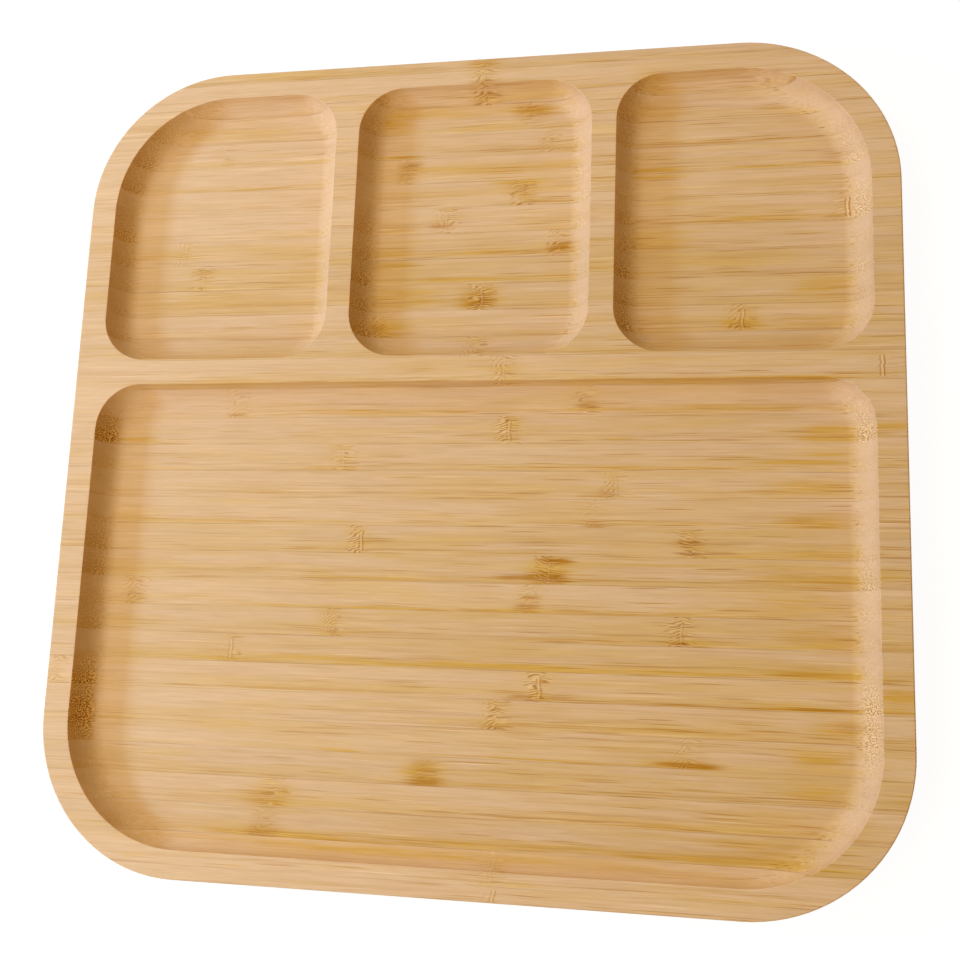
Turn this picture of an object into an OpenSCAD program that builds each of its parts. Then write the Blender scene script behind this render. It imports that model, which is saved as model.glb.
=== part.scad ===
// Divided compartment plate: a square board of bamboo staves glued edge to edge,
// with one wide pocket along the front and three small pockets along the back.
// X runs along the grain, Y across the staves, Z up from the face that it stands on.

/* [Plate] */
// Size along the grain
plate_w = 250; // [200:1:320]
// Size across the staves
plate_d = 250; // [210:1:320]
// Thickness of the board
plate_t = 15; // [12:0.5:25]
// Radius of the four outer corners, seen from above
corner_r = 45; // [25:1:50]
// Rounding of the outer edges, above and below
edge_r = 1; // [0.5:0.1:2]

/* [Staves] */
// Width of a full stave
stave_w = 8.34; // [6:0.02:12]
// Width left of the front stave after the board is trimmed
front_stave_w = 4.4; // [2:0.1:6]
// Narrowest strip that the trimming leaves at the back
least_stave_w = 1; // [0.5:0.1:2]

/* [Pockets] */
// Width of the rim round the pockets
rim_w = 8.3; // [6:0.1:12]
// Width of the two walls between the small pockets
divider_w = 7.5; // [5:0.1:12]
// Width of the wall between the wide pocket and the small ones
cross_divider_w = 8.1; // [5:0.1:12]
// Size of the wide pocket across the staves
wide_pocket_d = 138.7; // [100:0.1:150]
// Depth of every pocket
pocket_depth = 7.5; // [7.2:0.1:9]
// Radius of the cove between wall and floor
cove_r = 7; // [4:0.1:7]
// Rounding of the pocket's upper edge
lip_r = 0.5; // [0.2:0.1:0.8]
// Radius of the pocket corners that meet a divider
pocket_corner_r = 14; // [10:0.5:18]

/* [Hidden] */
$fn = 64;
// How far a cutter runs past the face that it opens
overrun = 2;
// How far a pocket's straight cutters run into its corner cutters, which leaves no skin between
seam_lap = 0.00000001;
// Right angle between the corners, and the number of small pockets
quarter_turn = 90;
small_pocket_count = 3;

front_y = -plate_d / 2;
back_y = plate_d / 2;
left_x = -plate_w / 2;
floor_z = plate_t - pocket_depth;

// A pocket corner beside an outer corner shares its centre, so the rim keeps one width
outer_pocket_corner_r = corner_r - rim_w;
pockets_w = plate_w - 2 * rim_w;
small_pocket_w = (pockets_w - (small_pocket_count - 1) * divider_w) / small_pocket_count;
small_pocket_step = small_pocket_w + divider_w;
wide_front_y = front_y + rim_w;
wide_back_y = wide_front_y + wide_pocket_d;
small_front_y = wide_back_y + cross_divider_w;
small_back_y = back_y - rim_w;
small_pocket_d = small_back_y - small_front_y;

// In a short pocket the wall leaves less room for the round that follows the plate's corner
small_outer_corner_r = min(outer_pocket_corner_r,
    small_pocket_w - pocket_corner_r, small_pocket_d - pocket_corner_r);

// The joints lie one full stave apart, counted from the trimmed front stave
stave_count = 1 + ceil((plate_d - front_stave_w - least_stave_w) / stave_w);

// Tones of the bamboo, from pale to toasted, as neighbours differ in the board
stave_tones = ["#dab384", "#d3a875", "#dfbb90", "#cda066", "#d7ae7c"];
// Steps through the tones so that neighbours and their neighbours differ
tone_step = 3;

// Names count from the front rim: stave_01, stave_02 and so on
function stave_name(i) = str("stave_", i < 10 ? "0" : "", i);

// Glue joint behind stave i; joint 0 is the front edge and the last one the back edge
function joint_y(i) =
    i < 1 ? front_y
    : i >= stave_count ? back_y
    : front_y + front_stave_w + (i - 1) * stave_w;

function stave_tone(i) = stave_tones[(tone_step * i) % len(stave_tones)];

// Left edge of small pocket k, counted from 0 at the left
function small_pocket_x(k) = left_x + rim_w + k * small_pocket_step;

// Where stave i runs, does it reach between these two lines across the board?
function crosses(i, from_y, to_y) = joint_y(i - 1) < to_y && joint_y(i) > from_y;

// Section of the board's edge, from the corner centre (x = 0) out to its face
module edge_section(reach) {
    square([reach - edge_r, plate_t]);
    translate([0, edge_r]) square([reach, plate_t - 2 * edge_r]);
    for (z = [edge_r, plate_t - edge_r])
        translate([reach - edge_r, z]) circle(r = edge_r);
}

// Section of a pocket cutter: floor, cove, short wall and the flare that rounds the lip
module pocket_section(reach) {
    translate([0, floor_z]) square([reach - cove_r, pocket_depth + overrun]);
    translate([0, floor_z + cove_r]) square([reach, pocket_depth - cove_r + overrun]);
    translate([reach - cove_r, floor_z + cove_r]) circle(r = cove_r);
    difference() {
        translate([reach - lip_r, plate_t - lip_r]) square([2 * lip_r, lip_r + overrun]);
        translate([reach + lip_r, plate_t - lip_r]) circle(r = lip_r);
    }
}

// Lays a section upright along X, facing -Y, and runs it from x = 0 to the given length
module run_along_x(length) {
    rotate([quarter_turn, 0, quarter_turn])
        mirror([1, 0, 0])
        linear_extrude(height = length) children();
}

// One side of a rounded outline: the section runs between two corner centres, and past
// each of them by the lap
module side(at, turn, length, lap = 0) {
    translate(at) rotate([0, 0, turn]) translate([-lap, 0, 0]) run_along_x(length + 2 * lap) children();
}

// One corner: the section is turned a quarter round the corner centre
module corner(at, turn) {
    translate(at) rotate([0, 0, turn]) rotate_extrude(angle = quarter_turn) children();
}

// The board before the pockets are cut, with its corners and edges rounded
module blank() {
    side_w = plate_w - 2 * corner_r;
    side_d = plate_d - 2 * corner_r;
    translate([-side_w / 2, -side_d / 2, 0]) cube([side_w, side_d, plate_t]);
    side([-side_w / 2, -side_d / 2], 0, side_w) edge_section(corner_r);
    side([side_w / 2, -side_d / 2], quarter_turn, side_d) edge_section(corner_r);
    side([side_w / 2, side_d / 2], 2 * quarter_turn, side_w) edge_section(corner_r);
    side([-side_w / 2, side_d / 2], -quarter_turn, side_d) edge_section(corner_r);
    corner([-side_w / 2, -side_d / 2], 2 * quarter_turn) edge_section(corner_r);
    corner([side_w / 2, -side_d / 2], -quarter_turn) edge_section(corner_r);
    corner([side_w / 2, side_d / 2], 0) edge_section(corner_r);
    corner([-side_w / 2, side_d / 2], quarter_turn) edge_section(corner_r);
}

// A coved pocket between two opposite corners. The radii are those of the front left,
// front right, back right and back left corner. Each side's cutter reaches the middle.
module pocket(x0, y0, x1, y1, radii) {
    half_w = (x1 - x0) / 2;
    half_d = (y1 - y0) / 2;
    mid_x = x0 + half_w;
    mid_y = y0 + half_d;
    corner([x0 + radii[0], y0 + radii[0]], 2 * quarter_turn) pocket_section(radii[0]);
    corner([x1 - radii[1], y0 + radii[1]], -quarter_turn) pocket_section(radii[1]);
    corner([x1 - radii[2], y1 - radii[2]], 0) pocket_section(radii[2]);
    corner([x0 + radii[3], y1 - radii[3]], quarter_turn) pocket_section(radii[3]);
    side([x0 + radii[0], mid_y], 0, x1 - x0 - radii[0] - radii[1], seam_lap)
        pocket_section(half_d);
    side([mid_x, y0 + radii[1]], quarter_turn, y1 - y0 - radii[1] - radii[2], seam_lap)
        pocket_section(half_w);
    side([x1 - radii[2], mid_y], 2 * quarter_turn, x1 - x0 - radii[2] - radii[3], seam_lap)
        pocket_section(half_d);
    side([mid_x, y1 - radii[3]], -quarter_turn, y1 - y0 - radii[3] - radii[0], seam_lap)
        pocket_section(half_w);
}

// The wide pocket along the front: its two front corners follow the plate's own
module wide_pocket() {
    pocket(left_x + rim_w, wide_front_y, left_x + rim_w + pockets_w, wide_back_y,
        [outer_pocket_corner_r, outer_pocket_corner_r, pocket_corner_r, pocket_corner_r]);
}

// Small pocket k along the back: the outer two have one corner that follows the plate's own
module small_pocket(k) {
    back_right_r = k == small_pocket_count - 1 ? small_outer_corner_r : pocket_corner_r;
    back_left_r = k == 0 ? small_outer_corner_r : pocket_corner_r;
    pocket(small_pocket_x(k), small_front_y, small_pocket_x(k) + small_pocket_w, small_back_y,
        [pocket_corner_r, pocket_corner_r, back_right_r, back_left_r]);
}

// The part of the board between two glue joints
module strip(i) {
    translate([left_x - overrun, joint_y(i - 1), -overrun])
        cube([plate_w + 2 * overrun, joint_y(i) - joint_y(i - 1), plate_t + 2 * overrun]);
}

// Stave i, counted from 1 at the front, with its share of the pockets cut across it
module stave(i) {
    color(stave_tone(i))
    difference() {
        intersection() {
            blank();
            strip(i);
        }
        if (crosses(i, wide_front_y - lip_r, wide_back_y + lip_r)) wide_pocket();
        if (crosses(i, small_front_y - lip_r, small_back_y + lip_r))
            for (k = [0 : small_pocket_count - 1]) small_pocket(k);
    }
}

for (i = [1 : stave_count])
    stave(i);
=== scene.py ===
import math

import bmesh
import bpy
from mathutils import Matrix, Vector


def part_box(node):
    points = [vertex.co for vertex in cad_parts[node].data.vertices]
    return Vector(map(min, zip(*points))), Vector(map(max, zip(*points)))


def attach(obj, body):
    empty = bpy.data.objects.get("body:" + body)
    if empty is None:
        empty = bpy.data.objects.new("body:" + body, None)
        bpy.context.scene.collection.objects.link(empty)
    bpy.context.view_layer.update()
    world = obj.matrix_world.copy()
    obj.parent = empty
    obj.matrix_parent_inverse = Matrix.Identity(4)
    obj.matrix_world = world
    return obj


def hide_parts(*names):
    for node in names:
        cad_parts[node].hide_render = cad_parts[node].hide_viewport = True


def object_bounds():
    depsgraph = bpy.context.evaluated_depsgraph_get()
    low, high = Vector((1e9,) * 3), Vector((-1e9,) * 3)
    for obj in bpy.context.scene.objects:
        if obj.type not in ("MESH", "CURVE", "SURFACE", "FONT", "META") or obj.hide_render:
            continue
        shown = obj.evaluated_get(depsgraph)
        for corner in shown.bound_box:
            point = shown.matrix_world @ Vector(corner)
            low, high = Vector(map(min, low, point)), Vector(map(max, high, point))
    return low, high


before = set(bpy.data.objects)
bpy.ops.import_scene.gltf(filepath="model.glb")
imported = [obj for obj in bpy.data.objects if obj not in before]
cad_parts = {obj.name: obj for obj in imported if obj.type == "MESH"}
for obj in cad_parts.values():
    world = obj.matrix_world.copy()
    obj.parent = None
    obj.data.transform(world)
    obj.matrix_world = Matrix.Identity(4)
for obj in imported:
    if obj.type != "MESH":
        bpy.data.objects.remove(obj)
cad_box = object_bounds()

# All lengths are in metres, so a size in millimetres is written with this unit
MM = 0.001
QUARTER = math.pi / 2

# The board and its pockets
PLATE_LOW, PLATE_HIGH = cad_box
PLATE_T = PLATE_HIGH.z
CORNER_R = 45 * MM
EDGE_R = 0.5 * MM
RIM_W = 8.3 * MM
DIVIDER_W = 7.5 * MM
CROSS_DIVIDER_W = 8.1 * MM
WIDE_POCKET_D = 138.7 * MM
POCKET_DEPTH = 7.5 * MM
COVE_R = 7 * MM
LIP_R = 0.2 * MM
POCKET_CORNER_R = 14 * MM
OUTER_POCKET_CORNER_R = CORNER_R - RIM_W
FLOOR_Z = PLATE_T - POCKET_DEPTH
SMALL_POCKETS = 3
OVERRUN = 2 * MM

# Points closer than this are one
TOUCHING = MM / 1000

# How finely the rounds are divided
OUTLINE_STEPS = 24
POCKET_CORNER_STEPS = 14
COVE_STEPS = 12
LIP_STEPS = 4
SMOOTH_UNDER = math.radians(32)

STAVES = sorted(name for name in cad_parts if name.startswith("stave_"))


def srgb(red, green, blue):
    """A colour as seen on a screen, 0 to 255, as the linear values that the nodes take."""
    def linear(value):
        share = value / 255
        return share / 12.92 if share <= 0.04045 else ((share + 0.055) / 1.055) ** 2.4
    return (linear(red), linear(green), linear(blue), 1.0)


# The board

def begin_piece(name):
    """Names the object that was just added, and puts its place and scale into its mesh."""
    piece = bpy.context.object
    piece.name = name
    bpy.ops.object.transform_apply(location=True, rotation=True, scale=True)
    return piece


def select_in_mesh(piece, test, kind="faces"):
    """In edit mode, selects the faces, edges or vertices that pass the test, and no others."""
    mesh = bmesh.from_edit_mesh(piece.data)
    for items in (mesh.verts, mesh.edges, mesh.faces):
        for item in items:
            item.select_set(False)
    for item in getattr(mesh, kind):
        if test(item):
            item.select_set(True)
    bmesh.update_edit_mesh(piece.data)


def add_outline(name, low, high, z, radii, steps):
    """A flat face with rounded corners: front left, front right, back right, back left."""
    bpy.ops.object.select_all(action="DESELECT")
    middle = ((low[0] + high[0]) / 2, (low[1] + high[1]) / 2, z)
    bpy.ops.mesh.primitive_plane_add(size=1, location=middle)
    bpy.context.object.scale = (high[0] - low[0], high[1] - low[1], 1)
    piece = begin_piece(name)
    corners = [(low[0], low[1]), (high[0], low[1]), (high[0], high[1]), (low[0], high[1])]
    bpy.ops.object.mode_set(mode="EDIT")
    bpy.ops.mesh.select_mode(type="VERT")
    for corner, radius, count in zip(corners, radii, steps):
        place = Vector((*corner, z))
        select_in_mesh(piece, lambda vert: (vert.co - place).length < LIP_R / 10, "verts")
        bpy.ops.mesh.bevel(offset=radius, offset_type="OFFSET", segments=count, affect="VERTICES")
    bpy.ops.mesh.select_mode(type="FACE")
    bpy.ops.mesh.select_all(action="SELECT")
    return piece


def pull_through(path):
    """Takes the selected face along a path of (how far outside its outline, height) pairs."""
    for (out_from, z_from), (out_to, z_to) in zip(path, path[1:]):
        if out_to < out_from:
            bpy.ops.mesh.inset(thickness=out_from - out_to)
        else:
            bpy.ops.mesh.extrude_region_move()
        bpy.ops.transform.translate(value=(0, 0, z_to - z_from))


def close_and_finish(piece):
    """Fills what is still open, turns all faces outwards and leaves edit mode."""
    select_in_mesh(piece, lambda edge: edge.is_boundary, "edges")
    bpy.ops.mesh.select_mode(type="EDGE")
    if any(edge.select for edge in bmesh.from_edit_mesh(piece.data).edges):
        bpy.ops.mesh.edge_face_add()
    bpy.ops.mesh.select_all(action="SELECT")
    bpy.ops.mesh.remove_doubles(threshold=TOUCHING)
    bpy.ops.mesh.normals_make_consistent(inside=False)
    bpy.ops.object.mode_set(mode="OBJECT")


def edge_round(steps, z_side, z_face):
    """Path from the side of the board over its rounded edge onto the face."""
    way = 1 if z_face > z_side else -1
    angles = [QUARTER * i / steps for i in range(steps + 1)]
    return [(-EDGE_R * (1 - math.cos(a)), z_face - way * EDGE_R * (1 - math.sin(a))) for a in angles]


def add_board():
    """The glued board before the pockets are cut, with its corners and edges rounded."""
    radii = [CORNER_R] * 4
    piece = add_outline("board", PLATE_LOW, PLATE_HIGH, EDGE_R, radii, [OUTLINE_STEPS] * 4)
    upper = edge_round(LIP_STEPS, 0, PLATE_T)
    pull_through([(0, EDGE_R)] + upper)
    bottom = EDGE_R + LIP_R
    select_in_mesh(piece, lambda face: all(v.co.z < bottom for v in face.verts))
    pull_through(edge_round(LIP_STEPS, PLATE_T, 0))
    close_and_finish(piece)
    return piece


def add_pocket_cutter(name, low, high, radii, steps):
    """What the router takes out: from above the lip, down the wall and round the cove."""
    lip = [QUARTER * (1 - i / LIP_STEPS) for i in range(LIP_STEPS + 1)]
    cove = [QUARTER * i / COVE_STEPS for i in range(COVE_STEPS + 1)]
    path = [(LIP_R, PLATE_T + OVERRUN)]
    path += [(LIP_R * (1 - math.cos(a)), PLATE_T - LIP_R * (1 - math.sin(a))) for a in lip]
    path += [(-COVE_R * (1 - math.cos(a)), FLOOR_Z + COVE_R * (1 - math.sin(a))) for a in cove]
    low = (low[0] - LIP_R, low[1] - LIP_R)
    high = (high[0] + LIP_R, high[1] + LIP_R)
    outer_radii = [radius + LIP_R for radius in radii]
    piece = add_outline(name, low, high, PLATE_T + OVERRUN, outer_radii, steps)
    pull_through(path)
    close_and_finish(piece)
    return piece


def pocket_cutters():
    """The wide pocket along the front and the row of small pockets along the back."""
    inner_low = (PLATE_LOW.x + RIM_W, PLATE_LOW.y + RIM_W)
    inner_high = (PLATE_HIGH.x - RIM_W, PLATE_HIGH.y - RIM_W)
    wide_back = inner_low[1] + WIDE_POCKET_D
    big, small = (OUTER_POCKET_CORNER_R, OUTLINE_STEPS), (POCKET_CORNER_R, POCKET_CORNER_STEPS)

    def cutter(name, low, high, corners):
        return add_pocket_cutter(name, low, high, [c[0] for c in corners], [c[1] for c in corners])

    yield cutter("wide_pocket", inner_low, (inner_high[0], wide_back), (big, big, small, small))
    small_w = (inner_high[0] - inner_low[0] - (SMALL_POCKETS - 1) * DIVIDER_W) / SMALL_POCKETS
    for number in range(SMALL_POCKETS):
        left = inner_low[0] + number * (small_w + DIVIDER_W)
        back_right = big if number == SMALL_POCKETS - 1 else small
        back_left = big if number == 0 else small
        yield cutter(
            f"small_pocket_{number + 1}",
            (left, wide_back + CROSS_DIVIDER_W),
            (left + small_w, inner_high[1]),
            (small, small, back_right, back_left),
        )


def cut_pockets(board):
    for cutter in list(pocket_cutters()):
        bpy.ops.object.select_all(action="DESELECT")
        board.select_set(True)
        bpy.context.view_layer.objects.active = board
        cut = board.modifiers.new("pocket", "BOOLEAN")
        cut.operation = "DIFFERENCE"
        cut.solver = "EXACT"
        cut.object = cutter
        bpy.ops.object.modifier_apply(modifier=cut.name)
        bpy.data.objects.remove(cutter, do_unlink=True)


def saw_stave(board, node):
    """One stave: what lies between its two glue joints, with the cut faces closed."""
    low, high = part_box(node)
    bpy.ops.object.select_all(action="DESELECT")
    piece = board.copy()
    piece.data = board.data.copy()
    piece.name = node.replace("stave", "bamboo_stave")
    piece.data.name = piece.name
    bpy.context.collection.objects.link(piece)
    piece.select_set(True)
    bpy.context.view_layer.objects.active = piece
    bpy.ops.object.mode_set(mode="EDIT")
    for joint, sense in ((low.y, 1), (high.y, -1)):
        if abs(joint) > PLATE_HIGH.y - LIP_R:
            continue
        bpy.ops.mesh.select_all(action="SELECT")
        bpy.ops.mesh.bisect(
            plane_co=(0, joint, 0), plane_no=(0, sense, 0), use_fill=True, clear_inner=True,
            threshold=TOUCHING,
        )
    bpy.ops.mesh.select_all(action="SELECT")
    bpy.ops.mesh.normals_make_consistent(inside=False)
    bpy.ops.object.mode_set(mode="OBJECT")
    bpy.ops.object.shade_smooth_by_angle(angle=SMOOTH_UNDER)
    even = piece.modifiers.new("even shading", "WEIGHTED_NORMAL")
    even.keep_sharp = True
    bpy.ops.object.modifier_apply(modifier=even.name)
    return piece


def make_staves():
    board = add_board()
    cut_pockets(board)
    made = {node: saw_stave(board, node) for node in STAVES}
    bpy.data.objects.remove(board, do_unlink=True)
    return made


# The bamboo

class Nodes:
    """Adds nodes to one tree and joins them, so that a pattern can be written as sums."""

    def __init__(self, tree):
        self.tree = tree

    def add(self, kind, **settings):
        made = self.tree.nodes.new(kind)
        for name, value in settings.items():
            setattr(made, name, value)
        return made

    def feed(self, socket, value):
        if isinstance(value, bpy.types.NodeSocket):
            self.tree.links.new(value, socket)
        else:
            socket.default_value = value

    def math(self, operation, *values, clamp=False):
        made = self.add("ShaderNodeMath", operation=operation, use_clamp=clamp)
        for socket, value in zip(made.inputs, values):
            self.feed(socket, value)
        return made.outputs[0]

    def times(self, one, other, clamp=False):
        return self.math("MULTIPLY", one, other, clamp=clamp)

    def plus(self, one, other, clamp=False):
        return self.math("ADD", one, other, clamp=clamp)

    def minus(self, one, other):
        return self.math("SUBTRACT", one, other)

    def vector(self, operation, *values):
        made = self.add("ShaderNodeVectorMath", operation=operation)
        for socket, value in zip(made.inputs, values):
            self.feed(socket, value)
        return made.outputs[0]

    def split(self, vector):
        made = self.add("ShaderNodeSeparateXYZ")
        self.feed(made.inputs[0], vector)
        return made.outputs

    def join(self, x, y, z):
        made = self.add("ShaderNodeCombineXYZ")
        for socket, value in zip(made.inputs, (x, y, z)):
            self.feed(socket, value)
        return made.outputs[0]

    def rise(self, value, start, end):
        """0 up to the start, 1 from the end on, and a soft step between."""
        made = self.add("ShaderNodeMapRange", interpolation_type="SMOOTHSTEP")
        for socket, each in zip(made.inputs, (value, start, end)):
            self.feed(socket, each)
        return made.outputs[0]

    def between(self, share, low, high):
        made = self.add("ShaderNodeMix", data_type="FLOAT")
        for socket, value in zip([s for s in made.inputs if s.enabled], (share, low, high)):
            self.feed(socket, value)
        return made.outputs[0]

    def colour(self, share, under, over, how="MIX"):
        made = self.add("ShaderNodeMix", data_type="RGBA", blend_type=how)
        for socket, value in zip([s for s in made.inputs if s.enabled], (share, under, over)):
            self.feed(socket, value)
        return next(s for s in made.outputs if s.enabled)

    def noise(self, place, sizes, detail=2.0, roughness=0.5):
        """Cloudy noise whose patches have the given sizes along X, Y and Z, in millimetres."""
        scaled = self.vector("DIVIDE", place, sizes)
        made = self.add("ShaderNodeTexNoise")
        self.feed(made.inputs["Vector"], scaled)
        made.inputs["Scale"].default_value = 1.0
        made.inputs["Detail"].default_value = detail
        made.inputs["Roughness"].default_value = roughness
        return made.outputs["Fac"]

    def cells(self, place, sizes):
        """Distance to the nearest of many scattered cores, and a colour of chance for each."""
        scaled = self.vector("DIVIDE", place, sizes)
        made = self.add("ShaderNodeTexVoronoi", feature="F1")
        self.feed(made.inputs["Vector"], scaled)
        made.inputs["Scale"].default_value = 1.0
        return made.outputs["Distance"], made.outputs["Color"]

    def dots(self, y, z, size, rim, core):
        """Round dots scattered over the end grain, as the cut fibre bundles show there."""
        scaled = self.vector("DIVIDE", self.join(y, z, 0.0), (size, size, 1.0))
        made = self.add("ShaderNodeTexVoronoi", feature="F1", voronoi_dimensions="2D")
        self.feed(made.inputs["Vector"], scaled)
        made.inputs["Scale"].default_value = 1.0
        return self.rise(made.outputs["Distance"], rim, core)


def new_group(name, inputs, outputs):
    """A shader node group with named sockets. Returns its nodes, inputs and output node."""
    tree = bpy.data.node_groups.new(name, "ShaderNodeTree")
    for label, kind in inputs:
        tree.interface.new_socket(name=label, in_out="INPUT", socket_type=kind)
    for label, kind in outputs:
        tree.interface.new_socket(name=label, in_out="OUTPUT", socket_type=kind)
    entry = tree.nodes.new("NodeGroupInput")
    return tree, Nodes(tree), entry.outputs, tree.nodes.new("NodeGroupOutput").inputs


FLOAT, VECTOR, COLOUR = "NodeSocketFloat", "NodeSocketVector", "NodeSocketColor"

# Tones of the wood along the grain
PINK_BAMBOO = srgb(217, 180, 140)
OCHRE_BAMBOO = srgb(213, 173, 115)
GOLD = srgb(208, 160, 62)
STAIN_BROWN = srgb(178, 118, 14)
PALE_FIBRE = srgb(243, 212, 168)
PALE_MARK = srgb(240, 203, 142)
GLUE_BROWN = srgb(150, 105, 58)

# Tones of the end grain in lit and shaded copies. The lit ones are for walls that face the lamps on
# the left and are paler, as a painted sheen. The shaded ones are for walls that face away, and are
# darker and deeper, as painted shade
END_BASE_PAINTED_LIT = srgb(212, 173, 132)
END_BASE_PAINTED_SHADE = srgb(209, 167, 118)
END_GOLD_PAINTED_LIT = srgb(218, 168, 96)
END_GOLD_PAINTED_SHADE = srgb(196, 134, 36)
PALE_DOT_PAINTED_LIT = srgb(250, 228, 180)
PALE_DOT_PAINTED_SHADE = srgb(252, 206, 120)
END_BROWN_PAINTED_LIT = srgb(140, 84, 12)
END_BROWN_PAINTED_SHADE = srgb(112, 64, 4)

# What a dark fibre bundle and a stroke at a knuckle leave of the red, green and blue
LINE_TINT = (0.74, 0.56, 0.28, 1.0)
MARK_TINT = (0.62, 0.42, 0.14, 1.0)

# The fine grain shades blue more than red, so that its dark lines look warm
GRAIN_DEPTH = (0.7, 1.0, 1.5)

# Sizes of the patterns in the wood along X, Y and Z, in millimetres: first those of the
# whole stave, then those of a streak and those of a knuckle
LONG_SWAY = (75.0, 40.0, 40.0)
SHORT_SWAY = (16.0, 1.4, 3.0)
BROAD_TONES = (45.0, 3.2, 6.0)
SMALL_TONES = (22.0, 3.2, 6.0)
FINE_GRAIN = (9.0, 0.36, 0.36)
THIN_LINES = (24.0, 0.6, 0.6)
BOLD_LINES = (75.0, 1.3, 1.3)
PALE_LINES = (46.0, 0.7, 0.7)
DRAWN_OUT_LINES = (60.0, 0.42, 0.6)
SOFT_BANDS = (110.0, 1.1, 3.0)
DOT_CLUSTERS = (40.0, 3.4, 12.0)
GLUE_STRETCHES = (28.0, 30.0, 30.0)
STREAK_FRAY = (90.0, 0.7, 1.5)
STREAK_SWAY = (30.0, 6.0, 6.0)
STREAK_GAPS = (25.0, 2.0, 4.0)
STREAK_GRAIN = (35.0, 0.4, 0.8)
KNUCKLE_SWAY = (60.0, 4.0, 8.0)
KNUCKLE_KINK = (60.0, 1.3, 3.0)
KNUCKLE_LIFT = (30.0, 4.0, 8.0)
KNUCKLE_CLOUDS = (9.0, 2.4, 4.0)
STROKE_WOBBLE = (8.0, 2.0, 4.0)
STROKE_LENGTHS = (9.0, 0.8, 2.5)

# Steps aside, in millimetres, that keep one pattern from repeating another
PALE_LINES_ASIDE = (0.0, 5.0, 0.0)
DRAWN_OUT_ASIDE = (0.0, 40.0, 0.0)
SOFT_BANDS_ASIDE = (0.0, 80.0, 0.0)

# A bold line has a pale one this far beside it, in millimetres
BESIDE_BOLD = (0.0, 0.36, 0.0)

# Pitch of the dots on the end grain, in millimetres
DOT_PITCH = 0.56

# A knuckle bends and tints the fibres this far along the grain, in millimetres
BEND_REACH = 4.0
TINT_REACH = 4.5

# Pitch of its short strokes and their least and greatest length, in millimetres
STROKE_PITCH = 0.95
SHORT_STROKE = 1.0
LONG_STROKE = 6.0

# Its ridge is a pale line between two dark ones, the second one thinner: their width and how
# far the dark ones lie from the pale one, in millimetres
RIDGE_LINE = 0.24
THIN_RIDGE_LINE = 0.22
RIDGE_GAP = 0.55

# A glue joint shows this far to each side, in millimetres, and is darkest within the other
GLUE_EDGE = 0.16
GLUE_CORE = 0.04

# Left of the first place a painted sheen from the lamps on the left is full, and right of the second
# it is gone, in millimetres from the middle of the plate. The sheen makes the wood paler, less warm
# and weaker in its lines. With it the wood is painted a little darker to the right, as painted
# falloff of their light.
PAINTED_SHEEN_X = -120.0
SHEEN_GONE_X = 90.0

# The look of the top face starts this far under it and is full from the other, in millimetres
TOP_STARTS_UNDER = 1.0
TOP_FULL_UNDER = 0.2

# Walls further than this from the middle are those by the rim, in millimetres
BY_RIM_X = 100.0

# What is left of the lines and bands on a steep wall that cuts the fibres at a slant
SLANTED_SHARE = 0.25

# Steps between the seeds of the staves, and of the knuckles and streaks on one stave, and
# how far a seed moves the patterns along X and Y, in millimetres
STAVE_SEED_STEP = 7.3
KNUCKLE_SEED_STEPS = (5.1, 13)
STREAK_SEED_STEPS = (3.7, 17)
SEED_X = 37.0
SEED_Y = 11.0

# Roughness and shine of the bare wood, and how strongly its relief shows
ROUGHNESS = 0.56
SHINE = 0.3
RELIEF_STRENGTH = 0.35
RELIEF_DEPTH = 0.04 * MM


def bell(n, off, reach):
    """1 where the value is 0, falling to nothing past the reach on both sides."""
    share = n.math("DIVIDE", off, reach)
    return n.math("EXPONENT", n.times(n.times(share, share), -1.0))


def seeded(n, place, seed):
    return n.vector("ADD", place, n.join(seed, n.times(seed, 3.0), 0.0))


def swing(n, place, sizes, detail=1.0):
    """Cloudy noise about 0, from about -0.5 to 0.5."""
    return n.minus(n.noise(place, sizes, detail), 0.5)


def across_stave(n, y, given):
    """0 at the stave's front joint and 1 at its back one."""
    return n.math("DIVIDE", n.minus(y, given["Front"]), given["Width"], clamp=True)


def streak_group():
    """A golden streak or a brown stain that runs along the grain and frays at its ends."""
    tree, n, given, out = new_group(
        "streak",
        [("Place", VECTOR), ("At", FLOAT), ("Line", FLOAT), ("Reach", FLOAT), ("Thickness", FLOAT),
         ("Seed", FLOAT), ("Strength", FLOAT)],
        [("Mask", FLOAT)],
    )
    x, y, _ = n.split(given["Place"])
    place = seeded(n, given["Place"], given["Seed"])
    fray = swing(n, place, STREAK_FRAY)
    along = n.math("DIVIDE", n.minus(x, given["At"]), given["Reach"])
    along = n.math("ABSOLUTE", n.plus(along, n.times(fray, 1.3)))
    sway = swing(n, place, STREAK_SWAY)
    off = n.minus(n.plus(y, n.times(sway, 0.8)), given["Line"])
    mask = n.times(n.rise(along, 1.15, 0.15), bell(n, off, given["Thickness"]))

    comes_and_goes = n.between(n.rise(n.noise(place, STREAK_GAPS, 2.0), 0.35, 0.6), 0.5, 1.0)
    grained = n.between(n.rise(n.noise(place, STREAK_GRAIN, 2.0, 0.6), 0.38, 0.6), 0.5, 1.0)
    mask = n.times(n.times(mask, grained), given["Strength"])
    n.feed(out["Mask"], n.times(n.times(mask, comes_and_goes), 1.9, clamp=True))
    return tree


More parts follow.
